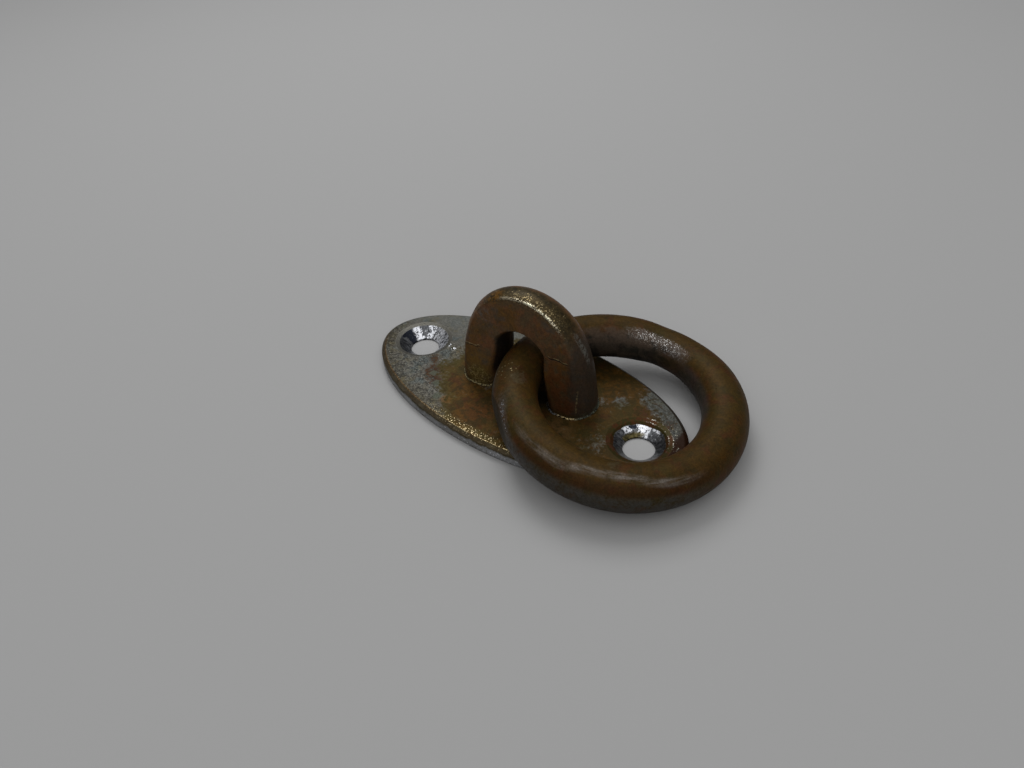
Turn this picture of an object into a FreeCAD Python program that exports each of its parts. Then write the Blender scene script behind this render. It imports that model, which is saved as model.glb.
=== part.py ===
import FreeCAD, Part
import math
import os

# Mooring ring for a small boat: an oval plate held by two countersunk screws,
# an eye bent from round bar and brazed into the plate, and a ring loose in the eye.
# Millimetres. The origin is the centre of the plate's back face, +Z leaves the deck,
# +X runs along the plate, and the two screw holes lie on the X axis.

Vector = FreeCAD.Vector
UP = Vector(0, 0, 1)

# Base plate
plate_length = 67.5
plate_width = 32.7
plate_thickness = 2.4
rim_bevel_width = 0.8
rim_bevel_height = 0.6
rim_ease = 0.12
back_edge_ease = 0.15

# Screw holes, cut for countersunk heads, with a shallow dish round each countersink
screw_spacing = 50.6
screw_hole_diameter = 5.7
countersink_diameter = 9.9
countersink_angle_deg = 100.0
sink_dish_diameter = 11.5
sink_dish_depth = 0.25

# Eye, bent from round bar with its feet brazed and peened into the plate
eye_bar_diameter = 8.0
eye_height = 23.3
ring_play_in_eye = 0.25
eye_foot_spacing = 18.5
eye_foot_bend_radius = 12.0
eye_foot_rise = 0.6
eye_offset_x = 1.3
eye_offset_y = 0.7
eye_turn_deg = 4.6
braze_gap = 0.05
braze_groove = 0.3
peen_width = 0.7
peen_depth = 0.8

# Flat pressed on the front of the crown: its depth at one height, and its slope out to the round legs
crown_flat_offset = 2.3
crown_flat_height = 21.0
crown_flat_slope_deg = 6.0

# Ring, bent from round bar, closed by a brazed joint and slightly out of round
ring_bar_diameter = 8.0
ring_outside_diameter = 44.45
ring_out_of_round = 0.21
ring_lobe_angle_deg = 57.0
ring_neck_angle_deg = 84.0
ring_neck_depth = 0.32
ring_neck_reach_deg = 36.0
ring_seam_angle_deg = 96.0
ring_seam_depth = 0.12
ring_seam_reach_deg = 10.0
ring_flat_angle_deg = 228.0
ring_flat_depth = 0.7

# Where the ring's bar crosses the eye, and how near the ring comes to deck and plate
ring_in_eye_x = 0.2
ring_over_plate = 2.2
ring_deck_gap = 0.05
ring_plate_gap = 0.2

# How finely the neck is drawn and the ring's rest is found
neck_section_step_deg = 4.0
tilt_halvings = 16
angle_tolerance = 1e-6

# The eye's bend leaves the ring's bar its play
eye_bend_radius = (eye_bar_diameter + ring_bar_diameter) / 2 + ring_play_in_eye


def disc(centre, axis, radius):
    circle = Part.Circle(centre, axis, radius)
    return Part.Face(Part.Wire(circle.toShape()))


def oval_wire(length, width, height):
    ellipse = Part.Ellipse(Vector(0, 0, height), length / 2, width / 2)
    return Part.Wire(ellipse.toShape())


# The eye's own frame: X along its legs, Y along its bore, Z up from the plate's back
def place_with_eye(shape):
    placed = shape.copy()
    placed.rotate(Vector(0, 0, 0), UP, eye_turn_deg)
    placed.translate(Vector(eye_offset_x, eye_offset_y, 0))
    return placed


def foot_places():
    return [Vector(side * eye_foot_spacing / 2, 0, 0) for side in (-1, 1)]


# Edge of the base plate as insets and heights, from its back up over the bevelled rim
def rim_profile():
    slope = math.hypot(rim_bevel_width, rim_bevel_height)
    ease_in = rim_ease * rim_bevel_width / slope
    ease_up = rim_ease * rim_bevel_height / slope
    bevel_low = plate_thickness - rim_bevel_height
    return [
        (back_edge_ease, 0),
        (0, back_edge_ease),
        (0, bevel_low - rim_ease),
        (ease_in, bevel_low + ease_up),
        (rim_bevel_width - ease_in, plate_thickness - ease_up),
        (rim_bevel_width + rim_ease, plate_thickness),
    ]


def plate_blank():
    ovals = []
    for inset, height in rim_profile():
        ovals.append(oval_wire(plate_length - 2 * inset, plate_width - 2 * inset, height))
    return Part.makeLoft(ovals, True, True)


def screw_hole():
    hole_radius = screw_hole_diameter / 2
    sink_radius = countersink_diameter / 2
    sink_depth = (sink_radius - hole_radius) / math.tan(math.radians(countersink_angle_deg / 2))
    dish_level = plate_thickness - sink_dish_depth
    drill = Part.makeCylinder(hole_radius, 3 * plate_thickness, UP * -plate_thickness)
    sink = Part.makeCone(hole_radius, sink_radius, sink_depth, UP * (dish_level - sink_depth))
    # The dish is cut at twice its depth, so that its rim comes out clean on the face
    above_radius = sink_dish_diameter - sink_radius
    dish = Part.makeCone(sink_radius, above_radius, 2 * sink_dish_depth, UP * dish_level)
    return drill.fuse([sink, dish])


def foot_socket():
    bore_radius = eye_bar_diameter / 2 + braze_gap
    bore = Part.makeCylinder(bore_radius, 3 * plate_thickness, UP * -plate_thickness)
    mouth_base = UP * (plate_thickness - braze_groove)
    mouth = Part.makeCone(bore_radius, bore_radius + 2 * braze_groove, 2 * braze_groove, mouth_base)
    back_radius = bore_radius + peen_width
    slope = peen_width / peen_depth
    below = plate_thickness
    sink = Part.makeCone(back_radius + below * slope, bore_radius, peen_depth + below, UP * -below)
    return bore.fuse([mouth, sink])


# Base plate: the oval blank with screw holes and sockets for the eye's feet
def base_plate():
    plate = plate_blank()
    for side in (-1, 1):
        hole = screw_hole()
        hole.translate(Vector(side * screw_spacing / 2, 0, 0))
        plate = plate.cut(hole)
    for place in foot_places():
        socket = foot_socket()
        socket.translate(place)
        plate = plate.cut(place_with_eye(socket))
    return plate


# Centreline of the eye: upright feet, small bends, leaning legs and a round crown
def eye_centreline():
    crown_centre_z = eye_height - eye_bar_diameter / 2 - eye_bend_radius
    foot_x = eye_foot_spacing / 2
    foot_top = plate_thickness + eye_foot_rise
    bend_x = foot_x - eye_foot_bend_radius
    # Each leg is the outer tangent of its foot bend and the crown
    fall = foot_top - crown_centre_z
    reach = math.hypot(bend_x, fall)
    radius_step = eye_bend_radius - eye_foot_bend_radius
    lean = math.atan2(fall, bend_x) + math.acos(radius_step / reach)

    def on_bend(angle):
        x = bend_x + eye_foot_bend_radius * math.cos(angle)
        return Vector(x, 0, foot_top + eye_foot_bend_radius * math.sin(angle))

    def on_crown(angle):
        x = eye_bend_radius * math.cos(angle)
        return Vector(x, 0, crown_centre_z + eye_bend_radius * math.sin(angle))

    def mirrored(point):
        return Vector(-point.x, 0, point.z)

    foot = Vector(foot_x, 0, 0)
    foot_end = on_bend(0)
    bend_middle = on_bend(lean / 2)
    bend_end = on_bend(lean)
    crown_start = on_crown(lean)
    crown_top = on_crown(math.pi / 2)
    right_foot = Part.LineSegment(foot, foot_end)
    right_bend = Part.Arc(foot_end, bend_middle, bend_end)
    right_leg = Part.LineSegment(bend_end, crown_start)
    crown = Part.Arc(crown_start, crown_top, mirrored(crown_start))
    left_leg = Part.LineSegment(mirrored(crown_start), mirrored(bend_end))
    left_bend = Part.Arc(mirrored(bend_end), mirrored(bend_middle), mirrored(foot_end))
    left_foot = Part.LineSegment(mirrored(foot_end), mirrored(foot))
    path = [right_foot, right_bend, right_leg, crown, left_leg, left_bend, left_foot]
    return Part.Wire([curve.toShape() for curve in path])


# Block that presses the flat: it leans forward as it comes down, so the flat runs out on the legs
def crown_flat_cutter():
    wide = eye_foot_spacing + 4 * eye_bar_diameter
    corner = Vector(-wide / 2, -eye_bar_diameter, -2 * eye_height)
    block = Part.makeBox(wide, eye_bar_diameter, 4 * eye_height, corner)
    block.rotate(Vector(0, 0, 0), Vector(1, 0, 0), -crown_flat_slope_deg)
    block.translate(Vector(0, -crown_flat_offset, crown_flat_height))
    return block


def eye():
    bar_radius = eye_bar_diameter / 2
    right_foot = Vector(eye_foot_spacing / 2, 0, 0)
    bar = eye_centreline().makePipe(disc(right_foot, UP, bar_radius))
    peens = []
    for place in foot_places():
        peen = Part.makeCone(bar_radius + peen_width, bar_radius, peen_depth, place)
        peens.append(peen)
    body = bar.cut(crown_flat_cutter()).fuse(peens)
    return place_with_eye(body.removeSplitter())


# Ring centreline in the ring's own plane, with the eye on its -X side:
# three tighter arcs and three flatter ones, tangent to each other
ring_mean_radius = (ring_outside_diameter - ring_bar_diameter) / 2
lobe_count = 3
arc_span = math.pi / lobe_count
arc_radius_step = 2 * ring_out_of_round / (2 / math.sqrt(3) - 1)
arc_centre_offset = arc_radius_step / math.sqrt(3)
tight_radius = ring_mean_radius - arc_radius_step / 2
flat_radius = ring_mean_radius + arc_radius_step / 2


def direction(angle):
    return Vector(math.cos(angle), math.sin(angle), 0)


# Arcs as centre, radius and middle angle, counted from the first tight arc
def ring_arcs():
    arcs = []
    for lobe in range(lobe_count):
        tight_middle = math.radians(ring_lobe_angle_deg) + 2 * lobe * arc_span
        flat_middle = tight_middle + arc_span
        arcs.append((direction(tight_middle) * arc_centre_offset, tight_radius, tight_middle))
        arcs.append((direction(flat_middle) * -arc_centre_offset, flat_radius, flat_middle))
    return arcs


# Point of the centreline whose outward normal has this angle
def ring_point(angle):
    for centre, radius, middle in ring_arcs():
        away = math.remainder(angle - middle, 2 * math.pi)
        if abs(away) <= arc_span / 2 + angle_tolerance:
            return centre + direction(angle) * radius
    raise ValueError("no arc of the ring holds this angle")


def ring_section(angle, radius):
    tangent = direction(angle + math.pi / 2)
    return Part.Wire(Part.Circle(ring_point(angle), tangent, radius).toShape())


# Plain bar from one angle round to another, one turned length per arc it crosses
def ring_bar(start, end):
    lengths = []
    for centre, radius, middle in ring_arcs():
        for turn in (-2 * math.pi, 0, 2 * math.pi):
            first = max(start, middle - arc_span / 2 + turn)
            last = min(end, middle + arc_span / 2 + turn)
            if last - first < angle_tolerance:
                continue
            face = Part.Face(ring_section(first, ring_bar_diameter / 2))
            lengths.append(face.revolve(centre, UP, math.degrees(last - first)))
    return lengths


# Smooth dip round one angle, nought past its reach
def dip(angle_deg, middle_deg, reach_deg, depth):
    away = abs(angle_deg - middle_deg) / reach_deg
    return depth * (1 + math.cos(math.pi * away)) / 2 if away < 1 else 0


# Length drawn thinner where the bar's ends were heated and joined, with the joint's own shallow seam
def ring_neck(start_deg, end_deg):
    section_count = 1 + round((end_deg - start_deg) / neck_section_step_deg)
    sections = []
    for place in range(section_count):
        angle_deg = start_deg + (end_deg - start_deg) * place / (section_count - 1)
        neck = dip(angle_deg, ring_neck_angle_deg, ring_neck_reach_deg, ring_neck_depth)
        seam = dip(angle_deg, ring_seam_angle_deg, ring_seam_reach_deg, ring_seam_depth)
        radius = ring_bar_diameter / 2 - neck - seam
        sections.append(ring_section(math.radians(angle_deg), radius))
    return Part.makeLoft(sections, True, False)


# Block that leaves the worn flat on the outside of the ring
def worn_flat_cutter():
    angle = math.radians(ring_flat_angle_deg)
    size = 2 * ring_bar_diameter
    block = Part.makeBox(size, 2 * size, 2 * size, Vector(0, -size, -size))
    block.rotate(Vector(0, 0, 0), UP, ring_flat_angle_deg)
    skin = ring_point(angle) + direction(angle) * (ring_bar_diameter / 2 - ring_flat_depth)
    block.translate(skin)
    return block


def flat_ring():
    neck_start = ring_neck_angle_deg - ring_neck_reach_deg
    neck_end = ring_neck_angle_deg + ring_neck_reach_deg
    lengths = ring_bar(math.radians(neck_end), math.radians(neck_start + 360))
    lengths.append(ring_neck(neck_start, neck_end))
    body = lengths[0].fuse(lengths[1:])
    return body.cut(worn_flat_cutter())


def ring_centreline():
    edges = []
    for centre, radius, middle in ring_arcs():
        first = math.degrees(middle - arc_span / 2)
        last = math.degrees(middle + arc_span / 2)
        edges.append(Part.makeCircle(radius, centre, UP, first, last))
    return Part.makeCompound(edges)


# The ring hangs on its near side where its bar crosses the eye, tilted down towards +X
def hung_in_eye(shape, tilt_deg):
    hung = shape.copy()
    hung.translate(Vector(-ring_point(math.pi).x, 0, 0))
    hung.rotate(Vector(0, 0, 0), Vector(0, 1, 0), tilt_deg)
    crossing_height = plate_thickness + ring_over_plate + ring_bar_diameter / 2
    hung.translate(Vector(ring_in_eye_x, 0, crossing_height))
    return place_with_eye(hung)


# The far side comes down until it meets the deck, or the plate where the ring is small
def resting_tilt_deg(plate):
    bar_radius = ring_bar_diameter / 2
    reach = ring_point(0).x - ring_point(math.pi).x
    fall = plate_thickness + ring_over_plate - ring_deck_gap
    centreline = ring_centreline()

    def clears_plate(tilt_deg):
        space = hung_in_eye(centreline, tilt_deg).distToShape(plate)[0]
        return space >= bar_radius + ring_plate_gap

    tilt_deg = math.degrees(math.asin(fall / reach))
    if clears_plate(tilt_deg):
        return tilt_deg
    clear_deg = 0
    for _ in range(tilt_halvings):
        middle_deg = (clear_deg + tilt_deg) / 2
        if clears_plate(middle_deg):
            clear_deg = middle_deg
        else:
            tilt_deg = middle_deg
    return clear_deg


def ring(plate):
    return hung_in_eye(flat_ring(), resting_tilt_deg(plate))


os.makedirs("parts", exist_ok=True)
plate = base_plate()
pieces = {"base_plate": plate, "eye": eye(), "ring": ring(plate)}
for name, solid in pieces.items():
    solid.exportStep("parts/" + name + ".step")
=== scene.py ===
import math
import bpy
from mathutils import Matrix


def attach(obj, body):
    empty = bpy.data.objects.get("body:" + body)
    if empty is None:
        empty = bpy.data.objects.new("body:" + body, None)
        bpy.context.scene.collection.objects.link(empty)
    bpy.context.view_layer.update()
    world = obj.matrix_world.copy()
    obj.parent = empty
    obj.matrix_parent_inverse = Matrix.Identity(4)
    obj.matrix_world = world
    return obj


bl_info = {
    "name": "Mooring Ring",
    "version": (1, 0, 0),
    "blender": (4, 5, 0),
    "location": "View3D > Sidebar > Mooring Ring",
    "description": "Dresses a mooring ring of tarnished brass: its worn plated plate, its eye and its ring",
    "category": "Object",
}

import bmesh
import bpy
from mathutils import Matrix, Vector, noise

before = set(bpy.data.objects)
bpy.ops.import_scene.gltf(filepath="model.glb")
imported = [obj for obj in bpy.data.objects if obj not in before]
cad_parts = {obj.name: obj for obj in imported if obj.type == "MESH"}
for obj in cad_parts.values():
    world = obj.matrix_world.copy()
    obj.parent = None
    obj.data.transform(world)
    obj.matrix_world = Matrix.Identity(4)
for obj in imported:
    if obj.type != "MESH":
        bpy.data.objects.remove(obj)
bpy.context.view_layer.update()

MM = 0.001

# Where the pieces stand, in mm and degrees, as the solids have them
PLATE_HALF_LENGTH = 33.75
PLATE_HALF_WIDTH = 16.35
PLATE_THICKNESS = 2.4
SCREW_X = 25.3
SINK_RADIUS = 4.95
DISH_RADIUS = 5.75
EYE_PLACE = (1.3, 0.7, 0.0)
EYE_TURN = 4.6
CROWN_CENTRE_Z = 11.05
BEND_RADIUS = 8.25
BAR_RADIUS = 4.0
FOOT_X = 9.25
FOOT_BEND_Z = 3.0
FOOT_BEND_RADIUS = 12.0
LEG_LEAN = 7.29
FLAT_DEPTH = 2.3
FLAT_LEVEL = 21.0
FLAT_SLOPE = 6.0
RING_CROSSING = (0.2, 0.0, 8.6)
RING_TILT = 7.2
RING_RADIUS = 18.2

# How far the bumps stand out, in mm, and how much the tarnish shines
BUMP_DEPTH = 0.10
TARNISH_SHINE = 0.06
EYE_SHINE = 0.10

# The camera: its place in mm, the way it looks, and the roll of a hand-held shot in degrees
CAMERA_PLACE = (72.0, -86.8, 97.8)
CAMERA_AHEAD = (-0.4984, 0.5801, -0.6442)
CAMERA_ROLL = 3.65
SENSOR_WIDTH = 36.0
NEAREST_SEEN = 0.005

# The lamps, in metres from the middle of the plate's back
KEY_PLACE = (-0.22, 0.18, 0.42)
FILL_PLACE = (0.28, -0.36, 0.30)
PLATE_MIDDLE = (0.0, 0.0, 0.0)
WHITE = (1.0, 1.0, 1.0, 1.0)
UPRIGHT = (0.0, 0.0, 1.0)

# The braze on the legs, in mm and radians
BRAZE_STEPS = 24
BRAZE_AROUND = 128
BRAZE_BASE = 0.5
BRAZE_FULL_SHARE = 0.45
BRAZE_RING_SIDE = 0.45
BRAZE_UNEVEN = 0.08
BRAZE_UNDER_SKIN = 0.06
BRAZE_OVER_FLAT = 0.12


class Number:
    """A number in a shader: one output socket, on which Python's arithmetic adds Math nodes."""

    def __init__(self, paint, socket):
        self.paint = paint
        self.socket = socket

    def __add__(self, other):
        return self.paint.math("ADD", self, other)

    def __radd__(self, other):
        return self.paint.math("ADD", other, self)

    def __sub__(self, other):
        return self.paint.math("SUBTRACT", self, other)

    def __rsub__(self, other):
        return self.paint.math("SUBTRACT", other, self)

    def __mul__(self, other):
        return self.paint.math("MULTIPLY", self, other)

    def __rmul__(self, other):
        return self.paint.math("MULTIPLY", other, self)

    def __truediv__(self, other):
        return self.paint.math("DIVIDE", self, other)

    def __rtruediv__(self, other):
        return self.paint.math("DIVIDE", other, self)

    def __pow__(self, other):
        return self.paint.math("POWER", self, other)

    def __abs__(self):
        return self.paint.math("ABSOLUTE", self)


class Paint:
    """A node tree and the shader calls that the finishes share. Lengths are in mm."""

    def __init__(self, tree):
        self.tree = tree
        self.tree.nodes.clear()

    def node(self, kind, settings=None, inputs=None, output=0):
        """Adds a node: its settings first, then the values or links of its sockets."""
        made = self.tree.nodes.new(kind)
        for name, value in (settings or {}).items():
            setattr(made, name, value)
        for key, value in (inputs or {}).items():
            if isinstance(value, Number):
                self.tree.links.new(value.socket, made.inputs[key])
            else:
                made.inputs[key].default_value = value
        return Number(self, made.outputs[output]) if made.outputs else None

    def math(self, operation, *values):
        return self.node("ShaderNodeMath", {"operation": operation}, dict(enumerate(values)))

    def vector(self, operation, *values, output=0):
        return self.node("ShaderNodeVectorMath", {"operation": operation}, dict(enumerate(values)), output)

    def place(self):
        """Where the surface point is on the object, in mm."""
        metres = self.node("ShaderNodeTexCoord", output="Object")
        return self.node("ShaderNodeVectorMath", {"operation": "SCALE"}, {0: metres, "Scale": 1 / MM})

    def turned(self, place, centre, axis, degrees):
        """The place measured from a centre and turned back about an axis."""
        inputs = {"Vector": place, "Center": centre, "Axis": axis, "Angle": -math.radians(degrees)}
        turned = self.node("ShaderNodeVectorRotate", {"rotation_type": "AXIS_ANGLE"}, inputs)
        return self.vector("SUBTRACT", turned, centre)

    def parts(self, vector):
        split = self.node("ShaderNodeSeparateXYZ", inputs={"Vector": vector})
        return [Number(self, socket) for socket in split.socket.node.outputs]

    def spread(self, *values):
        """A point with these coordinates."""
        return self.node("ShaderNodeCombineXYZ", inputs=dict(enumerate(values)))

    def length(self, *values):
        total = values[0] * values[0]
        for value in values[1:]:
            total = total + value * value
        return total ** 0.5

    def rise(self, value, low, high):
        """0 at low and 1 at high, with a smooth step between them."""
        inputs = {"Value": value, "From Min": low, "From Max": high}
        return self.node("ShaderNodeMapRange", {"interpolation_type": "SMOOTHSTEP"}, inputs)

    def fall(self, value, low, high):
        """1 at low and 0 at high."""
        return 1.0 - self.rise(value, low, high)

    def band(self, value, middle, half_width, soft):
        """1 within half_width of the middle, fading to 0 over the soft edge."""
        return self.fall(abs(value - middle), half_width, half_width + soft)

    def larger(self, *values):
        first = values[0]
        for value in values[1:]:
            first = self.math("MAXIMUM", first, value)
        return first

    def noise(self, place, size, detail=4.0, roughness=0.55, distortion=0.0, shift=0.0):
        """Cloudy noise of about this grain size, from 0 to 1."""
        moved = self.vector("ADD", place, (shift, -shift, 0.5 * shift)) if shift else place
        inputs = {"Vector": moved, "Scale": 1 / size, "Detail": detail, "Roughness": roughness,
                  "Distortion": distortion}
        return self.node("ShaderNodeTexNoise", inputs=inputs)

    def clouds(self, place, size, shift, low, high, detail=4.0):
        """Soft patches of about this size: 1 where the noise is over high, 0 where it is under low."""
        return self.rise(self.noise(place, size, detail=detail, shift=shift), low, high)

    def cells(self, place, size, shift=0.0):
        """Distance to the middle of the nearest cell, 0 to about 1, and a random number for the cell."""
        moved = self.vector("ADD", place, (shift, shift, -shift)) if shift else place
        inputs = {"Vector": moved, "Scale": 1 / size}
        distance = self.node("ShaderNodeTexVoronoi", inputs=inputs, output="Distance")
        colour = Number(self, distance.socket.node.outputs["Color"])
        return distance, self.parts(colour)[0]

    def specks(self, place, size, share, shift=0.0):
        """Specks of about one size, in this share of the cells: 1 inside a speck."""
        distance, chance = self.cells(place, size, shift)
        return self.fall(distance, 0.25, 0.5) * self.rise(chance, 1 - share, 1.1 - share)

    def near(self, place, point, reach, soft=0.7):
        """1 at a point and 0 past its reach."""
        distance = self.vector("DISTANCE", place, point, output="Value")
        return self.fall(distance, reach * (1 - soft), reach)

    def mix(self, share, first, second):
        """Blend of two colours."""
        inputs = {0: share, 6: first, 7: second}
        return self.node("ShaderNodeMix", {"data_type": "RGBA"}, inputs, output=2)

    def dapple(self, colour, share, low, high):
        """A colour made darker or lighter by a share from 0 to 1."""
        inputs = {0: 1.0, 6: colour, 7: self.shade(share, low, high)}
        return self.node("ShaderNodeMix", {"data_type": "RGBA", "blend_type": "MULTIPLY"}, inputs, output=2)

    def shade(self, share, first, second):
        """Blend of two numbers."""
        return self.node("ShaderNodeMix", {"data_type": "FLOAT"}, {0: share, 2: first, 3: second})

    def bump(self, height, depth, normal=None):
        """A normal for a height from 0 to 1 that stands for this depth in mm."""
        inputs = {"Height": height, "Distance": depth * MM, "Strength": 1.0}
        if normal is not None:
            inputs["Normal"] = normal
        return self.node("ShaderNodeBump", inputs=inputs)

    def eased(self, radius):
        """A normal that rounds the solid's edges off, by this radius in mm."""
        return self.node("ShaderNodeBevel", {"samples": 4}, {"Radius": radius * MM})

    def finish(self, **inputs):
        """Ends the tree in one surface."""
        surface = self.node("ShaderNodeBsdfPrincipled", inputs=inputs)
        self.node("ShaderNodeOutputMaterial", inputs={"Surface": surface})


class Coats:
    """Colour, gloss and metal of a surface, laid one coat over another."""

    def __init__(self, paint, colour, roughness, metal):
        self.paint = paint
        self.colour = colour
        self.roughness = roughness
        self.metal = metal

    def lay(self, mask, colour, roughness=None, metal=None):
        self.colour = self.paint.mix(mask, self.colour, colour)
        if roughness is not None:
            self.roughness = self.paint.shade(mask, self.roughness, roughness)
        if metal is not None:
            self.metal = self.paint.shade(mask, self.metal, metal)

    def dapple(self, share, low, high):
        self.colour = self.paint.dapple(self.colour, share, low, high)

    def finish(self, normal, **inputs):
        self.paint.finish(**{"Base Color": self.colour, "Roughness": self.roughness, "Metallic": self.metal,
                             "Normal": normal, **inputs})


def tint(colour, factor):
    """A colour made lighter or darker by a factor."""
    return (*(min(1.0, part * factor) for part in colour[:3]), 1.0)


def new_material(name):
    material = bpy.data.materials.new(name)
    material.use_nodes = True
    return material


def colour_property(name, description, default):
    return bpy.props.FloatVectorProperty(
        name=name, description=description, subtype="COLOR", size=4, min=0.0, max=1.0,
        default=(*default, 1.0))


class MetalColours(bpy.types.PropertyGroup):
    """Colours that the pieces share."""

    plating: colour_property("Plating", "Dull grey plating where it is left", (0.080, 0.077, 0.066))
    brown: colour_property("Brown tarnish", "Brown tarnish of bare brass", (0.036, 0.023, 0.0065))
    amber: colour_property("Amber tarnish", "Lighter, orange-brown tarnish", (0.074, 0.035, 0.0065))
    olive: colour_property("Olive tarnish", "Greenish-brown tarnish", (0.042, 0.034, 0.0090))
    red: colour_property("Red tarnish", "Reddish-brown tarnish", (0.058, 0.020, 0.0070))
    # Grime, also used as painted shade: between the ring and the right leg, at the foot of the plate's wall,
    # at the bottom of the sinks and inside the eye
    grime_and_shade: colour_property("Grime", "Dark grime in corners and pits", (0.008, 0.006, 0.005))
    verdigris: colour_property("Verdigris", "Pale grey-green deposit", (0.085, 0.095, 0.070))
    # Rubbed brass, also used for the painted highlights along the eye's cracks and down its right leg
    bright: colour_property("Bright brass", "Brass rubbed bright", (0.85, 0.66, 0.34))
    chrome: colour_property("Chrome", "Bright plating left in the countersinks", (0.88, 0.90, 0.95))


class BrazeSizes(bpy.types.PropertyGroup):
    """The braze that thickens each leg of the eye towards its foot."""

    swell: bpy.props.FloatProperty(
        name="Swell", description="How thick the braze stands on the leg near the foot", unit="LENGTH",
        default=0.60 * MM, precision=5)
    offset: bpy.props.FloatProperty(
        name="Offset", description="How far the braze is set off towards the plate's left end", unit="LENGTH",
        default=0.15 * MM, precision=5)
    height: bpy.props.FloatProperty(
        name="Height", description="How far the braze climbs the leg", unit="LENGTH",
        default=13.5 * MM, precision=5)
    rim: bpy.props.FloatProperty(
        name="Rim", description="Width of the thin rim left on the plate", unit="LENGTH",
        default=0.26 * MM, precision=5)


class StageSettings(bpy.types.PropertyGroup):
    """The floor, the lights and the camera."""

    floor_colour: colour_property("Floor", "Colour of the plain floor", (0.338, 0.338, 0.338))
    floor_reach: bpy.props.FloatProperty(
        name="Floor reach", description="From the middle of the floor to its rim", unit="LENGTH", default=4.0)
    sky_high: bpy.props.FloatProperty(
        name="Sky overhead", description="Strength of the light from above", default=0.93)
    sky_low: bpy.props.FloatProperty(
        name="Sky low", description="Strength of the light near the floor", default=0.045)
    key_power: bpy.props.FloatProperty(
        name="Key power", description="Power of the soft lamp overhead, in watts", default=0.96)
    key_size: bpy.props.FloatProperty(
        name="Key size", description="Side of the soft lamp overhead", unit="LENGTH", default=0.25)
    fill_power: bpy.props.FloatProperty(
        name="Fill power", description="Power of the weak lamp on the near side, in watts", default=0.62)
    fill_size: bpy.props.FloatProperty(
        name="Fill size", description="Side of the weak lamp on the near side", unit="LENGTH", default=0.50)
    lens: bpy.props.FloatProperty(name="Lens", description="Focal length of the camera, in mm", default=27.77)


def stand_camera(stage):
    """The camera stands where the view was taken, with the small roll of a hand-held shot."""
    ahead = Vector(CAMERA_AHEAD).normalized()
    level = ahead.cross(Vector(UPRIGHT)).normalized()
    above = level.cross(ahead)
    roll = math.radians(CAMERA_ROLL)
    right = math.cos(roll) * level - math.sin(roll) * above
    up = math.cos(roll) * above + math.sin(roll) * level
    turn = Matrix((right, up, -ahead)).transposed().to_4x4()
    lens = bpy.data.cameras.new("camera")
    lens.sensor_width = SENSOR_WIDTH
    lens.lens = stage.lens
    lens.clip_start = NEAREST_SEEN
    camera = bpy.data.objects.new("camera", lens)
    camera.matrix_world = Matrix.Translation(Vector(CAMERA_PLACE) * MM) @ turn
    bpy.context.scene.collection.objects.link(camera)
    bpy.context.scene.camera = camera


def hang_lamp(name, power, size, place, target):
    lamp = bpy.data.lights.new(name, "AREA")
    lamp.energy = power
    lamp.size = size
    holder = bpy.data.objects.new(name, lamp)
    holder.location = place
    holder.rotation_mode = "QUATERNION"
    holder.rotation_quaternion = (Vector(target) - Vector(place)).to_track_quat("-Z", "Y")
    bpy.context.scene.collection.objects.link(holder)


class MOORING_OT_stage(bpy.types.Operator):
    """Lays the floor, hangs the lamps and stands the camera"""

    bl_idname = "mooring.stage"
    bl_label = "Stage"

    def execute(self, context):
        stage = context.scene.mooring_stage
        reach = stage.floor_reach
        mesh = bpy.data.meshes.new("floor")
        corners = [(-reach, -reach, 0), (reach, -reach, 0), (reach, reach, 0), (-reach, reach, 0)]
        mesh.from_pydata(corners, [], [(0, 1, 2, 3)])
        floor = bpy.data.objects.new("floor", mesh)
        context.scene.collection.objects.link(floor)
        material = new_material("floor")
        Paint(material.node_tree).finish(**{"Base Color": stage.floor_colour, "Roughness": 0.9})
        mesh.materials.append(material)
        hang_lamp("key", stage.key_power, stage.key_size, KEY_PLACE, PLATE_MIDDLE)
        hang_lamp("fill", stage.fill_power, stage.fill_size, FILL_PLACE, PLATE_MIDDLE)
        world = bpy.data.worlds.new("sky")
        context.scene.world = world
        world.use_nodes = True
        sky = Paint(world.node_tree)
        height = sky.parts(sky.node("ShaderNodeTexCoord", output="Generated"))[2]
        strength = sky.shade(sky.rise(height, 0.30, 0.95), stage.sky_low, stage.sky_high)
        light = sky.node("ShaderNodeBackground", inputs={"Color": WHITE, "Strength": strength})
        sky.node("ShaderNodeOutputWorld", inputs={"Surface": light})
        context.scene.view_settings.view_transform = "Standard"
        stand_camera(stage)
        return {"FINISHED"}


def on_plate(x, y):
    """A point on the plate's top."""
    return x, y, PLATE_THICKNESS


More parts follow.
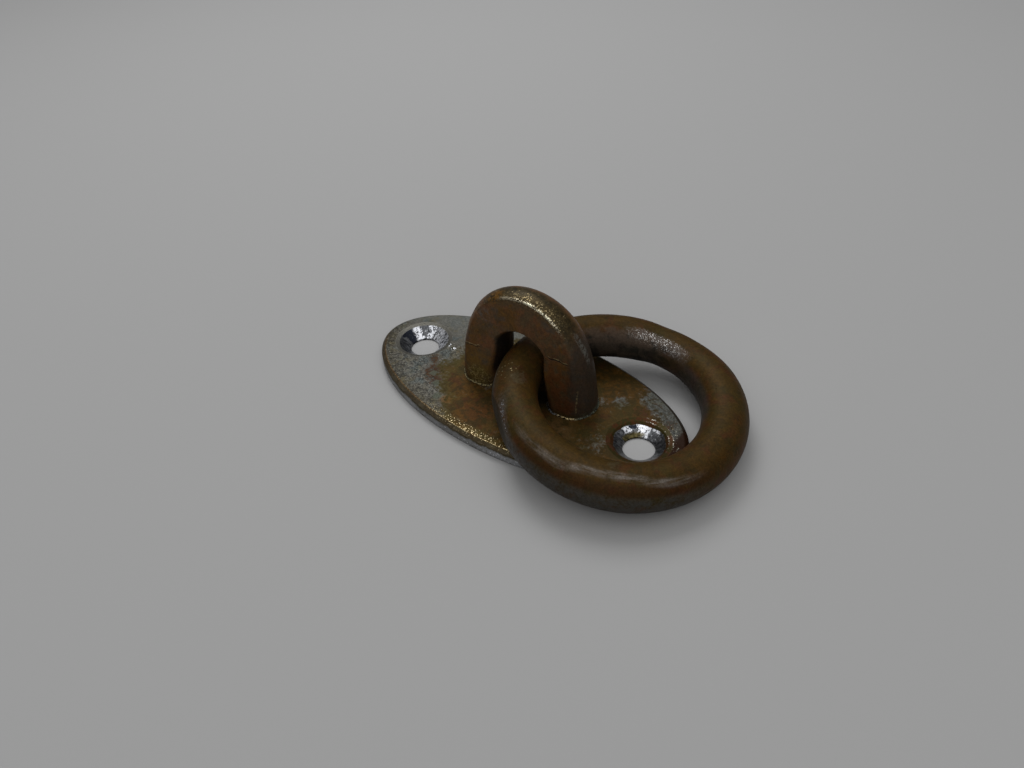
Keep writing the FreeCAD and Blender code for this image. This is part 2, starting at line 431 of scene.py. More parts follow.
def paint_plate(material, metal):
    """Brown tarnished brass, grey plating left at the ends, sinks with painted reflections and shade, a
    rubbed rim, and painted shade and light round the eye's feet.
    """
    paint = Paint(material.node_tree)
    place = paint.place()
    x, y, z = paint.parts(place)
    broad = paint.noise(place, 6.0, detail=3.0)
    mottle = paint.noise(place, 2.2, detail=6.0, roughness=0.65, distortion=0.3)
    grain = paint.noise(place, 0.55, detail=3.0, roughness=0.65)
    fine = paint.noise(place, 0.26, detail=2.0, roughness=0.7, shift=19.0)

    reach_x = x / PLATE_HALF_LENGTH
    reach_y = y / PLATE_HALF_WIDTH
    oval = paint.length(reach_x, reach_y)
    slope = paint.length(reach_x / PLATE_HALF_LENGTH, reach_y / PLATE_HALF_WIDTH)
    from_rim = (1.0 - oval) * oval / (slope + 1e-6)
    right_end = paint.rise(x, 0.0, 1.0)
    left_end = 1.0 - right_end
    across = x - paint.shade(right_end, -SCREW_X, SCREW_X)
    to_screw = paint.length(across, y)
    round_screw = paint.math("ARCTAN2", y, across) * (180 / math.pi)
    bright_reach = SINK_RADIUS - right_end * (0.45 + (mottle - 0.5) * 0.8)
    sink = paint.fall(to_screw - bright_reach, -0.04, 0.04)
    dish = paint.fall(to_screw, DISH_RADIUS - 0.05, DISH_RADIUS + 0.15) * (1.0 - sink)
    side = paint.fall(z, 1.70, 1.86) * paint.rise(to_screw, 5.2, 5.6)
    bevel = paint.fall(from_rim, 0.72, 0.86) * (1.0 - side)

    coats = Coats(paint, paint.mix(paint.rise(mottle, 0.42, 0.60), metal.brown, metal.amber), 0.50, 0.30)
    coats.lay(paint.rise(broad, 0.48, 0.64) * 0.55, metal.olive)
    coats.lay(paint.clouds(place, 3.2, 31.0, 0.55, 0.66) * 0.55, metal.red)
    coats.lay(paint.clouds(place, 1.3, 35.0, 0.56, 0.66) * 0.6, tint(metal.amber, 1.25))
    coats.lay(paint.clouds(place, 1.7, 37.0, 0.60, 0.70) * 0.5, tint(metal.brown, 0.6))
    coats.lay(paint.rise(x, 6.0, 20.0) * 0.35, tint(metal.brown, 0.9))

    # Plating left at the left end and along the far side, and in patches by the right screw
    edge = -16.8 + paint.larger(-4.5 - y, 0.0) + paint.larger(y - 2.0, 0.0) * 0.9
    ragged = (mottle - 0.5) * 9.0 + (grain - 0.5) * 6.0 + (broad - 0.5) * 6.0
    left = paint.rise(edge - x + ragged, -1.4, 1.8)
    far_right = paint.band(from_rim, 2.2, 1.0, 2.6) * paint.rise(x, 17.0, 22.0) * paint.rise(y, 1.0, 4.0)
    patches = paint.larger(
        far_right,
        paint.near(place, on_plate(19.8, -4.9), 4.4) * 0.5,
        paint.near(place, on_plate(17.6, 6.4), 2.6) * 0.7,
        paint.near(place, on_plate(28.5, 4.5), 3.0) * 0.6,
        paint.near(place, on_plate(14.6, 4.2), 2.6) * 0.5,
        paint.near(place, on_plate(-5.5, -3.6), 2.2) * 0.6)
    right = paint.rise(patches + (mottle - 0.5) * 2.4 + (grain - 0.5) * 1.8, 0.30, 1.10) * 0.85
    plating = paint.larger(left, right)
    coats.lay(paint.band(edge - x + ragged, -0.6, 0.8, 2.2) * 0.6, tint(metal.olive, 1.25))
    cool = paint.clouds(place, 3.0, 43.0, 0.48, 0.62)
    grey = paint.mix(paint.larger(cool, right_end), metal.plating, (0.066, 0.073, 0.069, 1.0))
    coats.lay(plating, grey, 0.46, 0.40)
    coats.lay(left * paint.rise(y, 3.0, 8.0) * 0.6, (0.104, 0.106, 0.096, 1.0))
    low_left = paint.larger(paint.fall(from_rim, 1.2, 4.2) * paint.fall(y, -1.0, 3.0) * 0.65,
                            paint.fall(x, -31.0, -27.5) * paint.fall(y, -3.5, 1.0) * 0.95)
    coats.lay(left * low_left, (0.046, 0.041, 0.029, 1.0))
    pitted = paint.shade(paint.rise(y, 0.5, 3.5) * (1.0 - right), 1.0, 0.30)
    speckled = paint.rise(grain * 0.5 + fine * 0.5, 0.38, 0.62)
    coats.dapple(speckled, 1.0 - plating * pitted * 0.55, 1.0 + plating * pitted * 0.42)
    coats.lay(paint.specks(place, 0.42, 0.30) * plating * pitted * 0.7, tint(metal.grime_and_shade, 2.0))
    coats.lay(paint.specks(place, 0.34, 0.22, shift=7.0) * plating * pitted * 0.8, tint(metal.plating, 1.9))
    left_olive = plating * left_end * paint.rise(mottle + (fine - 0.5) * 0.5, 0.52, 0.66)
    coats.lay(left_olive * 0.35, tint(metal.olive, 1.6))
    right_olive = plating * right_end * paint.rise(broad + (grain - 0.5) * 0.5, 0.50, 0.62)
    coats.lay(right_olive * 0.45, tint(metal.olive, 1.3))

    # Painted shadow: the plate between the ring and the right leg is darkened where they shade it
    shade = paint.near(place, on_plate(5.2, -0.6), 3.4)
    coats.lay(shade * 0.85, metal.grime_and_shade)

    # Rust-red and green spots along the edge of the plating, and two bright chips beside the left sink
    spots = paint.larger(
        paint.near(place, on_plate(-16.9, -6.2), 3.0), paint.near(place, on_plate(-15.0, -8.4), 2.4) * 0.9,
        paint.near(place, on_plate(-19.6, -3.6), 2.0) * 0.7, paint.near(place, on_plate(27.6, 5.9), 1.9),
        paint.near(place, on_plate(22.0, 6.2), 2.1) * 0.8)
    ragged_spots = spots + (grain - 0.5) * 3.0 + (fine - 0.5) * 2.0 + (mottle - 0.5) * 4.4
    red_spot = paint.rise(ragged_spots, 0.66, 1.0) * paint.rise(spots, 0.02, 0.3)
    coats.lay(red_spot * 0.85, (0.050, 0.023, 0.010, 1.0), 0.6, 0.1)
    orange = paint.near(place, on_plate(-9.1, -11.4), 2.0) + (grain - 0.5) * 2.2 + (mottle - 0.5) * 2.6
    coats.lay(paint.rise(orange, 0.5, 1.2) * 0.65, tint(metal.amber, 1.4))
    glow = paint.near(place, on_plate(-1.5, -10.5), 4.5) * paint.rise(mottle, 0.36, 0.56)
    coats.lay(glow * 0.45, tint(metal.red, 1.1))
    # Painted light: the plate before the right foot, which the ring and the leg shade, is painted a lighter
    # orange-brown
    painted_light_before_foot = paint.near(place, on_plate(12.0, -6.4), 4.6) * paint.rise(mottle, 0.34, 0.54)
    coats.lay(painted_light_before_foot * 0.75, (0.100, 0.056, 0.021, 1.0))
    green = paint.larger(
        paint.near(place, on_plate(-16.2, -6.9), 1.3), paint.near(place, on_plate(-13.8, -8.9), 1.3),
        paint.near(place, on_plate(-11.2, -11.6), 1.3))
    coats.lay(paint.rise(green + (grain - 0.5) * 2.4 + (mottle - 0.5) * 1.2, 0.48, 0.85) * 0.75,
              metal.verdigris, 0.7, 0.0)
    chips = paint.larger(
        paint.near(place, on_plate(-19.6, 1.4), 1.0, 0.9), paint.near(place, on_plate(-18.1, 1.0), 1.0, 0.9))
    coats.lay(paint.rise(chips + (fine - 0.5) * 3.0, 0.92, 1.12), tint(metal.chrome, 0.8), 0.30, 1.0)
    coats.lay(paint.rise(chips + (grain - 0.5) * 3.0, 0.95, 1.15), metal.grime_and_shade, 0.7, 0.0)

    # Rim: brown bevel, darker along the far bevel, pale plated side wall with painted shade at its foot,
    # rubbed bright along the top edge
    bevel_brown = paint.mix(
        paint.rise(mottle, 0.4, 0.6), (0.058, 0.043, 0.024, 1.0), (0.080, 0.066, 0.043, 1.0))
    coats.lay(bevel * 0.9, bevel_brown, 0.42, 0.4)
    far_rim = bevel * paint.rise(y, 0.0, 3.0) * paint.rise(x, -2.0, 6.0)
    coats.lay(far_rim * 0.7, tint(metal.grime_and_shade, 1.4))
    coats.lay(paint.rise(x, 29.4, 30.9) * 0.95, tint(metal.red, 0.32), 0.52, 0.1)
    wall = side * paint.fall(z + (mottle - 0.5) * 1.6 + (grain - 0.5) * 0.6, 1.15, 1.85)
    coats.lay(side * 0.8, tint(metal.olive, 0.9), 0.45, 0.3)
    paler = paint.rise(broad + (grain - 0.5) * 0.3, 0.36, 0.64)
    pale_wall = paint.mix(paler, (0.190, 0.190, 0.190, 1.0), (0.270, 0.275, 0.285, 1.0))
    coats.lay(wall * 0.9, pale_wall, 0.5, 0.2)
    grainy = paint.rise(x, -12.0, 2.0)
    coats.lay(side * grainy * paint.specks(place, 0.40, 0.30, shift=29.0) * 0.55, tint(metal.olive, 1.1))
    glints = wall * paint.specks(place, 0.30, 0.06 + grainy * 0.20, shift=27.0)
    coats.lay(glints, tint(metal.chrome, 0.70), 0.40, 0.6)
    # Painted shade at the foot of the side wall, where it meets the floor
    coats.lay(side * paint.fall(z, 0.02, 0.45) * 0.75, tint(metal.grime_and_shade, 1.5))
    near_side = paint.fall(y, -6.0, -2.0)
    broken = paint.rise(grain * 0.6 + fine * 0.6, 0.58, 0.72)
    rubbed = paint.band(from_rim, 0.80, 0.02, 0.08) * near_side * broken
    rubbed = rubbed * (0.15 + 0.85 * paint.rise(x, -16.0, 0.0))
    coats.lay(paint.band(from_rim, 0.82, 0.05, 0.16) * near_side * 0.45, tint(metal.amber, 1.4), 0.4, 0.6)
    worn_strip = paint.band(from_rim, 1.30, 0.35, 1.0) * near_side * paint.rise(x, -15.0, -2.0)
    glitter = paint.specks(place, 0.23, 0.34, shift=3.0) * worn_strip
    coats.lay(worn_strip * paint.rise(mottle, 0.36, 0.56) * 0.40, tint(metal.olive, 1.3), 0.4, 0.6)
    coats.lay(paint.larger(rubbed, glitter), (0.56, 0.46, 0.27, 1.0), 0.34, 1.0)

    # Dish round each sink: grey on the left one, copper-brown on the right one, with painted highlights in
    # pale broken arcs and specks on its sunny side
    redder = paint.rise(mottle + (grain - 0.5) * 0.5, 0.42, 0.62)
    coppery = paint.mix(redder, tint(metal.olive, 0.75), tint(metal.red, 0.9))
    coats.lay(dish * right_end * 0.9, coppery, 0.42, 0.4)
    sunny = paint.band(round_screw, 56.0, 38.0, 20.0) * right_end
    # Painted highlights: pale broken arcs along the right dish's edges, on its sunny side
    highlit_rims = paint.larger(
        paint.band(to_screw, DISH_RADIUS, 0.04, 0.14), paint.band(to_screw, SINK_RADIUS + 0.1, 0.04, 0.14))
    broken_rim = paint.rise(fine * 0.5 + grain * 0.4 + mottle * 0.5, 0.72, 0.82)
    coats.lay(highlit_rims * sunny * broken_rim, (0.42, 0.41, 0.36, 1.0), 0.36, 0.8)
    # Painted glints in a band round the right dish, on its sunny side
    coats.lay(paint.band(to_screw, 6.6, 0.3, 0.5) * sunny * paint.specks(place, 0.28, 0.16, shift=5.0),
              (0.26, 0.25, 0.20, 1.0), 0.40, 0.6)
    coats.lay(dish * left_end, tint(metal.plating, 1.1), 0.38, 0.5)

    # The sink walls carry painted reflections: bright chrome in broken stripes where they mirror light, dull
    # dark metal to the sides where they mirror shade
    down_wall = paint.spread(across / to_screw, y / to_screw, z * 0.16)
    stripes = paint.noise(down_wall, 0.10, detail=2.0, roughness=0.6)
    reflection_breaks = (grain - 0.5) * 2.4 + (fine - 0.5) * 2.4 + (stripes - 0.5) * 2.0
    wide = round_screw + (mottle - 0.5) * 50.0
    left_reflection = paint.larger(paint.band(wide, 151.0, 6.0, 10.0), paint.band(wide, 113.0, 8.0, 10.0) * 0.85,
                               paint.band(wide, 50.0, 34.0, 20.0) * 0.76)
    right_reflection = paint.larger(paint.band(wide, 152.0, 8.0, 10.0) * paint.rise(z, 0.9, 1.3),
                                paint.band(wide, 110.0, 9.0, 12.0),
                                paint.band(wide, 112.0, 42.0, 14.0) * paint.rise(z, 1.38, 1.66) * 0.64)
    reflecting_wall = paint.shade(right_end, left_reflection, right_reflection)
    reflecting_wall = paint.rise(reflecting_wall + reflection_breaks, 0.50, 0.85) * paint.rise(reflecting_wall, 0.05, 0.4)
    striped = paint.rise(stripes * 0.5 + grain * 0.5, 0.38, 0.62)
    dark_reflection = paint.mix(striped, (0.056, 0.058, 0.063, 1.0), (0.175, 0.18, 0.19, 1.0))
    sink_reflections = paint.mix(reflecting_wall, dark_reflection, tint(metal.chrome, 0.93))
    coats.lay(sink, sink_reflections, paint.shade(reflecting_wall, 0.34, 0.16), 1.0)
    # Painted reflection: a pale grey patch on the left sink's wall
    pale_reflection = paint.band(wide, 50.0, 34.0, 24.0) * left_end
    pale_reflection = pale_reflection * paint.rise(stripes * 0.6 + grain * 0.4, 0.36, 0.56)
    coats.lay(sink * pale_reflection * 0.40, (0.36, 0.36, 0.37, 1.0), 0.42, 0.35)
    coats.lay(sink * paint.specks(place, 0.30, 0.09, shift=33.0), metal.chrome, 0.16, 1.0)
    # Painted shade: dark blue-grey on the shaded sides of the sinks
    shady = paint.larger(paint.band(abs(wide), 178.0, 8.0, 14.0) * left_end,
                         paint.band(wide, 134.0, 6.0, 12.0) * right_end * paint.rise(z, 1.1, 1.5))
    coats.lay(sink * paint.rise(shady + reflection_breaks * 0.5, 0.50, 0.9) * paint.rise(shady, 0.02, 0.3),
              (0.020, 0.023, 0.032, 1.0), 0.30, 0.9)
    brassy = paint.band(wide, 146.0, 30.0, 16.0) * right_end * paint.fall(z + (grain - 0.5) * 0.8, 0.75, 1.15)
    brass = paint.mix(paint.rise(grain, 0.40, 0.60), metal.olive, (0.130, 0.105, 0.032, 1.0))
    coats.lay(sink * brassy * 0.9, brass, 0.45, 0.6)
    # Painted shade at the bottom of the sinks
    coats.lay(sink * paint.fall(z, 0.16, 0.30) * 0.7, metal.grime_and_shade, 0.6)

    pits = paint.specks(place, 0.60, 0.24)
    height = grain * 0.40 + mottle * 0.55 - pits * plating * pitted * 0.5 + fine * 0.15
    coats.dapple(paint.rise(fine * 0.5 + grain * 0.5, 0.36, 0.64), 0.86, 1.14)
    coats.finish(paint.bump(height, BUMP_DEPTH, paint.eased(0.15)), **{"Specular IOR Level": TARNISH_SHINE})


def paint_eye(material, metal):
    """Reddish-brown bar with a matt pressed front, its outer edge and crown rubbed to bright grains."""
    paint = Paint(material.node_tree)
    place = paint.place()
    own = paint.turned(place, EYE_PLACE, UPRIGHT, EYE_TURN)
    x, y, z = paint.parts(own)
    broad = paint.noise(place, 5.0, detail=3.0, shift=11.0)
    mottle = paint.noise(place, 1.9, detail=6.0, roughness=0.65, shift=17.0)
    grain = paint.noise(place, 0.5, detail=3.0, roughness=0.65, shift=23.0)
    fine = paint.noise(place, 0.24, detail=2.0, roughness=0.7, shift=29.0)
    rise = z - CROWN_CENTRE_Z
    outward = paint.length(x, paint.larger(rise, 0.0)) - BEND_RADIUS
    about = paint.math("ARCTAN2", rise, x) * (180 / math.pi)
    flat_y = -FLAT_DEPTH - (FLAT_LEVEL - z) * math.tan(math.radians(FLAT_SLOPE))

    base = paint.mix(paint.rise(mottle, 0.38, 0.62), (0.079, 0.051, 0.025, 1.0), (0.112, 0.051, 0.022, 1.0))
    coats = Coats(paint, base, 0.50, 0.25)
    coats.lay(paint.rise(broad, 0.50, 0.66) * 0.7, tint(metal.amber, 1.35))
    dark = paint.clouds(place, 2.0, 59.0, 0.52, 0.64, detail=5.0)
    coats.lay(dark * 0.40, (0.044, 0.030, 0.016, 1.0))
    grey_brown = paint.clouds(place, 2.6, 39.0, 0.54, 0.66)
    coats.lay(grey_brown * 0.7, (0.060, 0.048, 0.036, 1.0))
    coats.lay(paint.clouds(place, 1.1, 49.0, 0.58, 0.68) * 0.6, tint(metal.amber, 1.6))

    # Crown outside the pressed flat: golden-olive, with a narrow line of bright grains at its edge
    to_edge = paint.length(outward - (BAR_RADIUS ** 2 - flat_y * flat_y) ** 0.5, y - flat_y)
    worn_turn = paint.rise(about, 38.0, 60.0) * paint.fall(about, 98.0, 120.0)
    crown = paint.rise(outward, 2.6, 3.4) * paint.band(y, -1.0, 1.3, 1.6) * paint.rise(about, 20.0, 50.0)
    crown = crown * paint.fall(about, 118.0, 140.0)
    paler = paint.rise(grain * 0.5 + mottle * 0.5, 0.40, 0.60)
    gold = paint.mix(paler, (0.017, 0.014, 0.0058, 1.0), (0.043, 0.032, 0.0125, 1.0))
    coats.lay(crown * 0.9, gold, 0.42, 0.4)
    brightest = 0.34 + 0.66 * paint.band(about, 70.0, 13.0, 16.0)
    beside = paint.fall(to_edge, 0.35, 2.1) * paint.rise(outward, 2.4, 3.2) * worn_turn
    coats.lay(beside * 0.45, (0.070, 0.051, 0.023, 1.0), 0.40, 0.5)
    beside_grains = beside * brightest * paint.specks(place, 0.22, 0.46, shift=2.0)
    coats.lay(beside_grains, tint(metal.bright, 0.62), 0.32, 1.0)
    coats.lay(crown * paint.specks(place, 0.26, 0.09, shift=2.0), tint(metal.bright, 0.34), 0.34, 1.0)
    grains = paint.rise(fine * 0.6 + grain * 0.5, 0.50, 0.58)
    strip = paint.fall(to_edge, 0.12, 0.28 + 0.24 * mottle) * worn_turn
    coats.lay(strip * brightest * grains, (1.0, 0.89, 0.65, 1.0), 0.21, 1.0)

    # Marks on the front: orange where the edge begins, pale dents, brassy specks, two hairline cracks with a
    # painted highlight along the upper edge of each
    orange = paint.near(own, (-5.6, -1.7, 21.7), 2.3) * paint.rise(grain + mottle, 0.9, 1.1)
    coats.lay(orange, tint(metal.amber, 1.9))
    pale = paint.near(own, (-7.3, -2.2, 17.3), 2.4) * paint.rise(mottle, 0.50, 0.62)
    coats.lay(pale * 0.7, tint(metal.plating, 1.1))
    left_edge = paint.rise(outward, 2.7, 3.6) * paint.fall(x, -6.5, -4.5) * paint.fall(y, -0.5, 1.0)
    coats.lay(left_edge * paint.specks(place, 0.30, 0.22, shift=21.0), tint(metal.bright, 0.40), 0.4, 0.9)
    waver = (paint.noise(own, 1.6, detail=2.0) - 0.5) * 1.1
    front = paint.fall(y, -1.2, -0.4)
    right_crack = paint.band(x, 8.0, 1.8, 0.3) * front
    left_crack = paint.band(x, -9.9, 1.6, 0.4) * front * 0.8
    dark_line = paint.larger(paint.band(z - 13.4 - waver, 0.0, 0.07, 0.12) * right_crack,
                             paint.band(z - 10.5 - waver, 0.0, 0.04, 0.10) * left_crack)
    # Painted highlight along the upper edge of each crack
    crack_highlight = paint.larger(paint.band(z - 13.65 - waver, 0.0, 0.03, 0.09) * right_crack,
                              paint.band(z - 10.72 - waver, 0.0, 0.02, 0.08) * left_crack)
    coats.lay(crack_highlight * paint.rise(grain, 0.36, 0.5), tint(metal.bright, 0.40), 0.45, 0.6)
    coats.lay(dark_line, metal.grime_and_shade, 0.8, 0.0)
    glow = paint.near(own, (8.6, -3.0, 11.4), 3.0) * paint.rise(mottle, 0.42, 0.58)
    coats.lay(glow * 0.7, tint(metal.amber, 1.5))

    # Right side: painted reflections, dark purplish-grey with a pale streak
    purple = paint.rise(x, 9.2, 11.2) * paint.fall(z, 17.0, 19.5)
    coats.lay(purple * 0.75, (0.034, 0.028, 0.022, 1.0), 0.38, 0.30)
    highlight_streak = paint.band(y + (z - 15.0) * 0.12, -0.2, 0.20, 0.6) * paint.band(z, 15.4, 2.0, 1.6)
    highlight_streak = highlight_streak * paint.rise(x, 9.0, 10.5) * paint.rise(grain, 0.40, 0.56)
    coats.lay(highlight_streak * 0.9, tint(metal.plating, 1.8), 0.36, 0.6)

    # Legs: red low on the right one, brassy grains at the left foot, a painted highlight down the right one,
    # painted shade inside the eye and green at the roots
    low_right = paint.near(own, (7.8, -4.0, 9.0), 4.6)
    coats.lay(low_right * paint.rise(mottle, 0.36, 0.58) * 0.8, (0.102, 0.035, 0.012, 1.0))
    low_right = paint.near(own, (9.6, -4.6, 5.0), 3.4)
    coats.lay(low_right * paint.rise(mottle, 0.40, 0.58) * 0.8, tint(metal.red, 1.4))
    dark_foot = paint.rise(x, 5.0, 7.5) * paint.fall(z, 8.0, 12.5) * paint.fall(x, 9.5, 11.5)
    coats.lay(dark_foot * 0.35, (0.044, 0.019, 0.006, 1.0))
    low_left = paint.near(own, (-8.8, -4.0, 6.8), 4.6)
    coats.lay(low_left * paint.rise(mottle, 0.36, 0.54) * 0.8, (0.118, 0.068, 0.017, 1.0))
    golden_foot = paint.near(own, (-8.6, -4.6, 4.4), 3.4)
    coats.lay(golden_foot * paint.rise(mottle, 0.34, 0.52) * 0.8, (0.098, 0.072, 0.018, 1.0), 0.44, 0.4)
    left_foot = paint.near(own, (-8.8, -4.0, 4.0), 3.2)
    brassy_grains = left_foot * paint.rise(grain * 0.6 + fine * 0.6, 0.60, 0.70)
    coats.lay(brassy_grains, (0.300, 0.235, 0.095, 1.0), 0.38, 0.8)
    # Painted highlight: a thin bright line down the right leg
    leg_highlight = paint.band(x, 11.9, 0.03, 0.14) * paint.band(z, 6.1, 1.9, 0.7) * paint.fall(y, -1.5, -0.5)
    coats.lay(leg_highlight * paint.rise(grain, 0.42, 0.56) * 0.8, tint(metal.bright, 0.30), 0.4, 0.8)
    # Painted shade on the inside of the eye, facing the ring
    shaded_bore = paint.fall(outward, -2.6, -1.5) * paint.rise(y - flat_y, 0.05, 0.7) * paint.rise(z, 3.5, 7.0)
    coats.lay(shaded_bore * 0.9, tint(metal.grime_and_shade, 0.8))
    side_of_foot = paint.math("SIGN", x)
    right_foot = paint.rise(x, 0.0, 1.0)
    root = paint.fall(z, PLATE_THICKNESS + 0.4, PLATE_THICKNESS + 1.3)
    coats.lay(root * paint.rise(mottle, 0.36, 0.56) * 0.6, tint(metal.olive, 1.0), 0.45, 0.4)
    behind = root * paint.rise(x * side_of_foot + y * 0.5, 10.0, 12.0)
    coats.lay(behind * paint.rise(mottle, 0.42, 0.56) * 0.8, metal.verdigris, 0.6, 0.1)
    rim = paint.fall(z, PLATE_THICKNESS + 0.16, PLATE_THICKNESS + 0.24)
    coats.lay(rim * 0.8, metal.grime_and_shade, 0.7, 0.2)
    silver = paint.mix(paint.rise(x, 7.6, 9.2), tint(metal.chrome, 0.34), tint(metal.bright, 0.52))
    rim_metal = paint.mix(right_foot, (0.25, 0.205, 0.105, 1.0), silver)
    rim_metal = paint.mix(paint.rise(x, 11.2, 12.6), rim_metal, tint(metal.verdigris, 1.2))
    coats.lay(rim * paint.rise(fine * 0.5 + grain * 0.7, 0.55, 0.67), rim_metal, 0.36, 0.8)
    coats.lay(paint.fall(z, 0.05, 0.15), metal.brown, 0.5, 0.6)

    coats.dapple(paint.rise(fine * 0.5 + grain * 0.5, 0.36, 0.64), 0.80, 1.22)
    pits = paint.specks(place, 0.6, 0.10, shift=4.0)
    height = grain * 0.35 + mottle * 0.5 - pits * 0.35 - dark_line * 0.8 + strip * grains * 0.5 + fine * 0.15
    coats.finish(paint.bump(height, BUMP_DEPTH, paint.eased(0.25)), **{"Specular IOR Level": EYE_SHINE})


def paint_ring(material, metal):
    """Tan and brown bar with painted light and shade: a grey reflection low on its outside, a highlight
    streak above, shade underneath and inside the far limb, bright grains at the joint.
    """
    paint = Paint(material.node_tree)
    place = paint.place()
    with_eye = paint.turned(place, EYE_PLACE, UPRIGHT, EYE_TURN)
    own = paint.turned(with_eye, RING_CROSSING, (0.0, 1.0, 0.0), RING_TILT)
    x, y, z = paint.parts(own)
    x = x - RING_RADIUS
    out = paint.length(x, y) - RING_RADIUS
    round_ring = paint.math("ARCTAN2", y, x) * (180 / math.pi)
    round_bar = paint.math("ARCTAN2", z, out) * (180 / math.pi)
    broad = paint.noise(place, 6.0, detail=3.0, shift=41.0)
    mottle = paint.noise(place, 2.1, detail=6.0, roughness=0.62, distortion=0.4, shift=47.0)
    grain = paint.noise(place, 0.5, detail=3.0, roughness=0.65, shift=53.0)
    fine = paint.noise(place, 0.24, detail=2.0, roughness=0.7, shift=57.0)

    base = paint.mix(paint.rise(mottle, 0.34, 0.66), metal.brown, tint(metal.amber, 0.75))
    coats = Coats(paint, base, 0.50, 0.15)
    coats.lay(paint.rise(broad, 0.46, 0.68) * 0.45, tint(metal.olive, 0.85))
    coats.lay(paint.clouds(place, 3.0, 61.0, 0.48, 0.66) * 0.68, tint(metal.red, 1.08))
    coats.lay(paint.clouds(place, 1.2, 63.0, 0.54, 0.70) * 0.35, tint(metal.amber, 1.1))
    coats.lay(paint.clouds(place, 1.5, 67.0, 0.56, 0.72) * 0.35, tint(metal.brown, 0.6))
    crest = paint.band(round_bar, 98.0, 20.0, 26.0) * paint.rise(mottle, 0.40, 0.62)
    coats.lay(crest * 0.25, tint(metal.olive, 1.1))
    # Painted shade: the underside is darker, in deep brown and red
    shaded_under = paint.fall(z, -2.8, 0.2)
    deep = paint.mix(paint.rise(mottle, 0.34, 0.68), tint(metal.brown, 0.55), tint(metal.red, 0.85))
    coats.lay(shaded_under * 0.60, deep)
    # Painted reflection of the floor: grey low on the outside of the bar
    low = paint.band(round_bar, -6.0, 18.0, 24.0) * paint.rise(mottle + (grain - 0.5) * 0.4, 0.26, 0.56)
    low = low * paint.fall(round_ring, -40.0, -10.0)
    coats.lay(low * 0.86, (0.045, 0.044, 0.039, 1.0))
    reddish = paint.band(round_bar, 38.0, 7.0, 11.0) * paint.band(round_ring, -66.0, 36.0, 20.0)
    reddish = reddish * paint.rise(mottle + (broad - 0.5) * 0.5, 0.26, 0.50)
    coats.lay(reddish * 0.60, (0.032, 0.013, 0.0045, 1.0))

    # Painted highlight: a streaky grey-lilac band along the upper outside, and a worn facet on the left with
    # a painted reflection
    brushed = paint.noise(paint.spread(round_ring * 0.10, round_bar * 0.14), 1.0, detail=4.0, roughness=0.6)
    middle = 57.0 + 12.0 * paint.rise(round_ring, -92.0, -76.0) - 17.0 * paint.rise(round_ring, -62.0, -38.0)
    middle = middle + (broad - 0.5) * 8.0
    highlight_streak = paint.band(round_bar, middle, 2.0, 13.0) * paint.band(round_ring, -72.0, 28.0, 26.0)
    grey_part = highlight_streak * paint.rise(brushed + (mottle - 0.5) * 0.6, 0.26, 0.66)
    coats.lay(grey_part * 0.85, (0.118, 0.101, 0.084, 1.0), 0.36, 0.35)
    pale_part = highlight_streak * paint.rise(brushed + (fine - 0.5) * 0.5, 0.56, 0.72)
    coats.lay(pale_part * 0.4, (0.19, 0.165, 0.15, 1.0), 0.34, 0.5)
    # The worn facet is painted grey-lilac: a painted reflection of the floor on the worn flat
    facet_middle = 42.0 - (round_ring + 131.0) * 1.9
    facet = paint.band(round_bar, facet_middle - 6.0, 10.0, 20.0) * paint.band(round_ring, -116.0, 16.0, 14.0)
    worn_facet_sheen = facet * paint.rise(brushed * 0.6 + grain * 0.5, 0.36, 0.66)
    coats.lay(worn_facet_sheen * 0.7, (0.074, 0.068, 0.063, 1.0), 0.38, 0.35)
    bare = paint.band(round_bar, facet_middle, 3.0, 7.0) * paint.band(round_ring, -128.0, 4.0, 6.0)
    coats.lay(bare * paint.specks(place, 0.24, 0.45, shift=6.0), tint(metal.chrome, 0.65), 0.30, 1.0)

    # Joint on the far limb: a painted grey-lilac highlight band, with bare grains that catch the light,
    # thickest in the middle
    joint = paint.band(round_ring, 92.0, 11.0, 16.0) * paint.band(round_bar, 133.0, 8.0, 18.0)
    coats.lay(joint * 0.75, (0.125, 0.106, 0.094, 1.0), 0.36, 0.5)
    thick = 0.40 + 0.60 * paint.band(round_ring, 93.0, 7.0, 12.0)
    clumps = paint.rise(mottle + (grain - 0.5) * 0.6, 0.30, 0.46)
    sparkle = joint * thick * clumps * paint.specks(place, 0.22, 0.86, shift=8.0)
    coats.lay(sparkle, (1.0, 0.98, 0.95, 1.0), 0.17, 1.0)
    coats.lay(joint * paint.specks(place, 0.34, 0.30, shift=16.0) * 0.5, tint(metal.grime_and_shade, 2.0))
    # Painted shade: near-black on the inside of the far limb
    inner = paint.band(abs(round_bar), 172.0, 26.0, 20.0) * paint.rise(round_ring, 60.0, 100.0)
    shaded = paint.mix(paint.rise(mottle, 0.40, 0.60), (0.018, 0.018, 0.016, 1.0), (0.046, 0.038, 0.030, 1.0))
    coats.lay(inner * 0.85, shaded)
    cool_inside = paint.band(abs(round_bar), 166.0, 10.0, 22.0) * paint.band(round_ring, 44.0, 16.0, 22.0)
    coats.lay(cool_inside * 0.55, (0.036, 0.038, 0.038, 1.0), 0.42, 0.2)
    purple = paint.band(round_bar, 140.0, 14.0, 14.0) * paint.rise(round_ring, 70.0, 100.0)
    coats.lay(purple * paint.rise(mottle, 0.36, 0.56) * 0.75, (0.066, 0.046, 0.032, 1.0))

